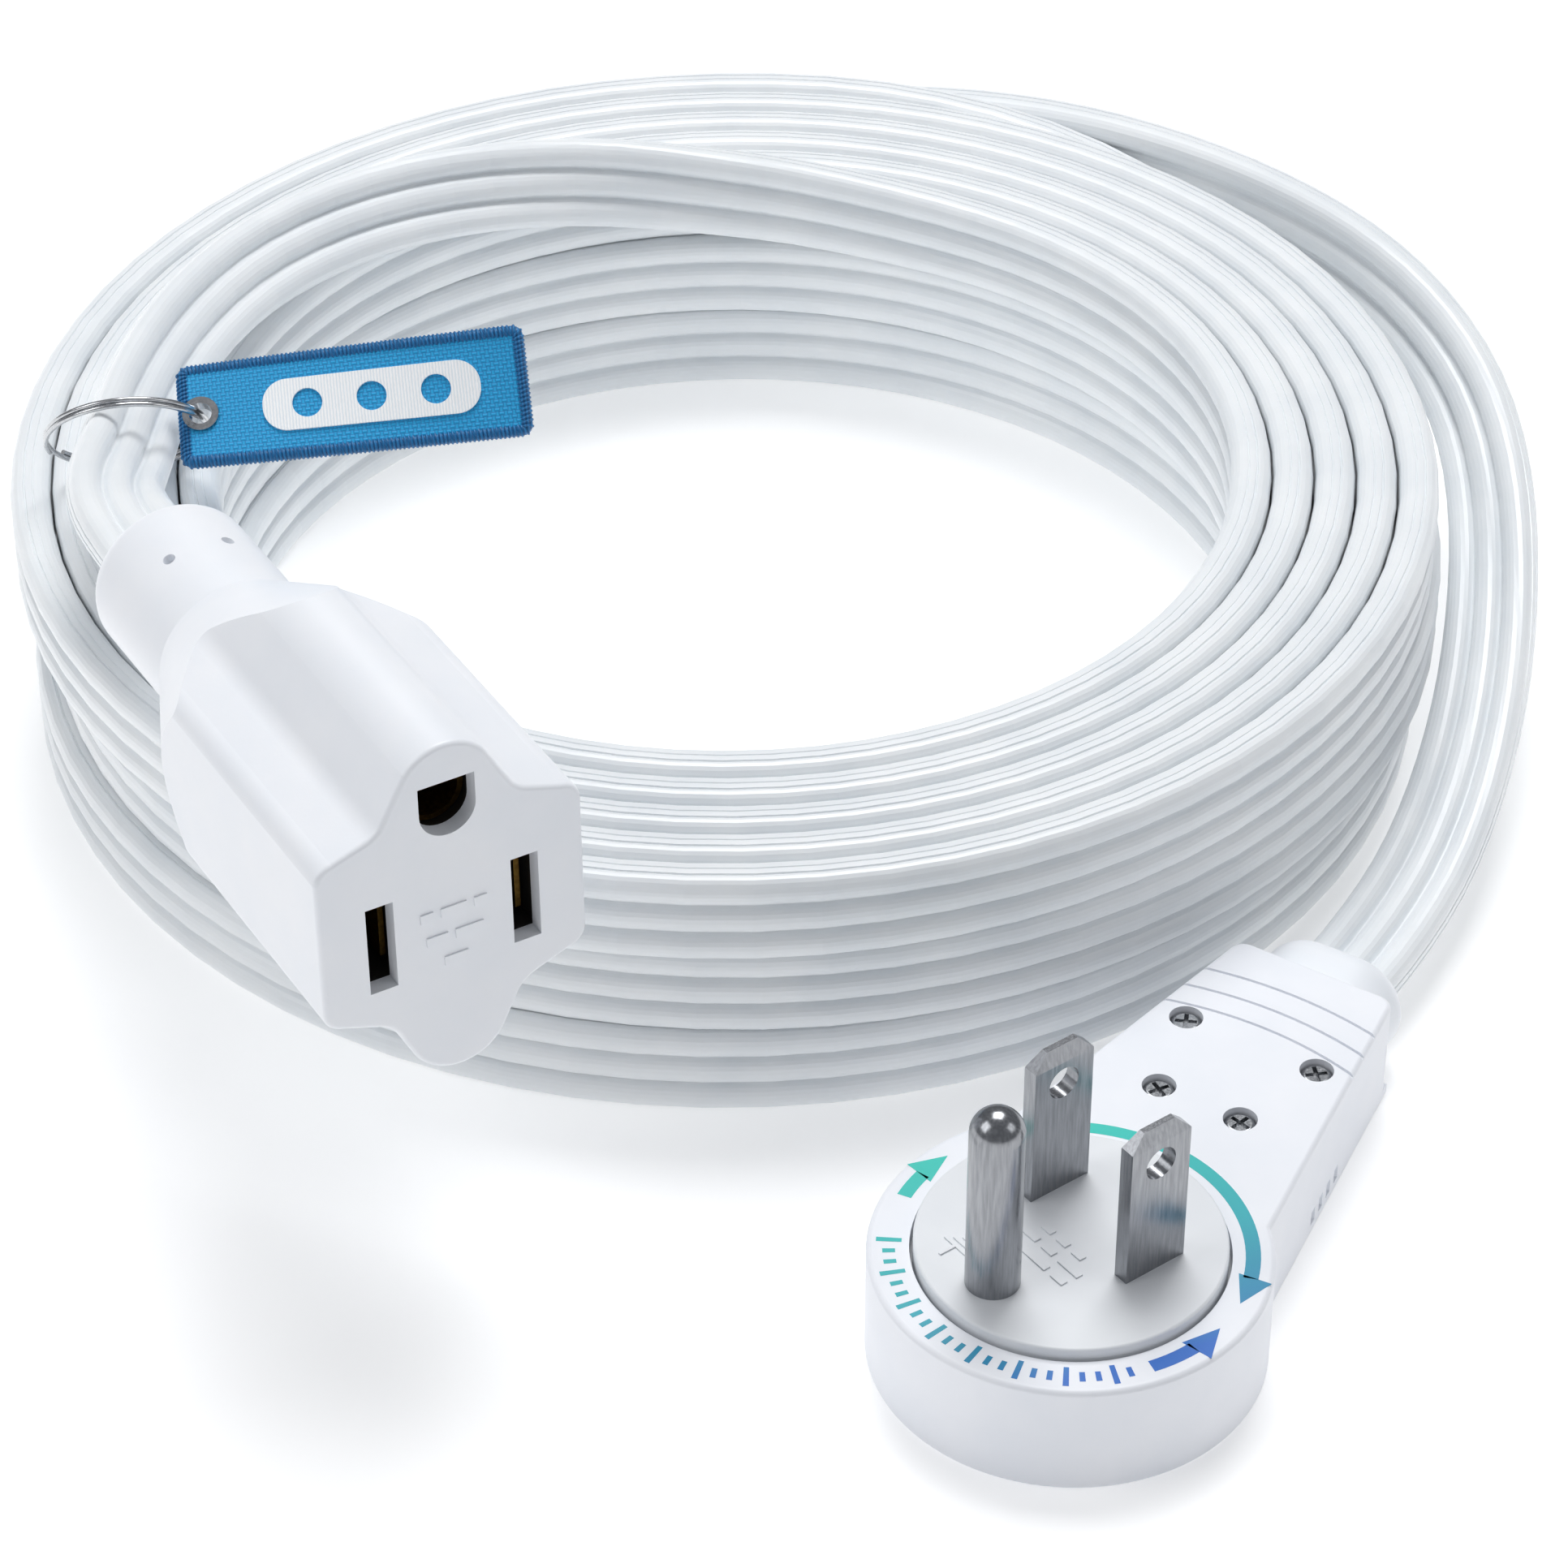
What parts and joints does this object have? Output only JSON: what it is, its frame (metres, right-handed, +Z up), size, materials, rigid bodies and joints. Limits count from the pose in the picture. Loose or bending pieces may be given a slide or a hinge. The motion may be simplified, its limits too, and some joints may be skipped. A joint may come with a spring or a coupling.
{
  "type": "extension cord",
  "caption": "Coiled flat three-core extension cord with a swivelling low-profile plug, a moulded grounded socket and a woven tag on a split ring.",
  "frame": {"origin": "on the plug's swivel axis, in the plane of the floor that the plug and the coil lie on", "axes": "+Z up along the swivel axis, out of the plug's face; +Y from the plug towards the middle of the coil; +X to the right"},
  "size_m": [0.1499, 0.1941, 0.0594],
  "materials": {
    "cable_pvc": "soft satin flexible PVC",
    "plug_shell": "satin moulded plastic",
    "rotor_plastic": "satin moulded plastic",
    "boot_pvc": "soft moulded PVC",
    "socket_pvc": "satin moulded PVC",
    "inner_plastic": "pressed dark phenolic",
    "screw_steel": "nickel plated",
    "blade_nickel": "nickel plated brass",
    "contact_brass": "stamped",
    "core_black": "extruded PVC",
    "core_white": "extruded PVC",
    "core_green": "extruded PVC",
    "ring_nickel": "polished nickel",
    "tag_weave": "woven polyester",
    "tag_thread": "overlocked thread"
  },
  "bodies": {
    "root": {"cord_coil": "cable_pvc", "cord_lead_plug": "cable_pvc", "cord_lead_socket": "cable_pvc", "plug_front_shell": "plug_shell", "plug_back_cover": "plug_shell", "plug_cord_boot": "boot_pvc", "plug_cord_clamp": "inner_plastic", "plug_cable_end": "cable_pvc", "plug_case_screws": "screw_steel", "plug_wiper_carrier": "inner_plastic", "plug_rotor_retainer": "inner_plastic", "plug_line_wiper": "contact_brass", "plug_ground_wiper": "contact_brass", "plug_neutral_wiper": "contact_brass", "plug_crimps": "contact_brass", "plug_line_core": "core_black", "plug_ground_core": "core_green", "plug_neutral_core": "core_white", "socket_housing": "socket_pvc", "socket_contact_block": "inner_plastic", "socket_line_contact": "contact_brass", "socket_neutral_contact": "contact_brass", "socket_ground_contact": "contact_brass", "socket_crimps": "contact_brass", "socket_cable_end": "cable_pvc", "socket_line_core": "core_black", "socket_neutral_core": "core_white", "socket_ground_core": "core_green"},
    "rotor": {"plug_rotor": "rotor_plastic", "plug_line_blade": "blade_nickel", "plug_neutral_blade": "blade_nickel", "plug_ground_pin": "blade_nickel", "plug_line_strap": "contact_brass", "plug_line_contact": "contact_brass", "plug_ground_slip_ring": "contact_brass", "plug_neutral_slip_ring": "contact_brass"},
    "key_ring": {"tag_split_ring": "ring_nickel"},
    "tag": {"tag_panel": "tag_weave", "tag_edge_binding": "tag_thread", "tag_eyelet": "ring_nickel", "tag_eyelet_washer": "ring_nickel"}
  },
  "joints": [
    {"name": "rotor_spin", "type": "hinge", "parent": "root", "child": "rotor", "pos_m": [0, 0, 0.0124], "axis": [0, 0, 1], "continuous": true},
    {"name": "key_ring_swing", "type": "hinge", "parent": "root", "child": "key_ring", "pos_m": [-0.08675, 0.0894, 0.0355], "axis": [0.1302, -0.9915, 0], "range_deg": [-3, 15]},
    {"name": "tag_swing", "type": "hinge", "parent": "key_ring", "child": "tag", "pos_m": [-0.08036, 0.08848, 0.0373], "axis": [-0.0391, -0.5263, 0.8494], "range_deg": [-8, 12]}
  ]
}
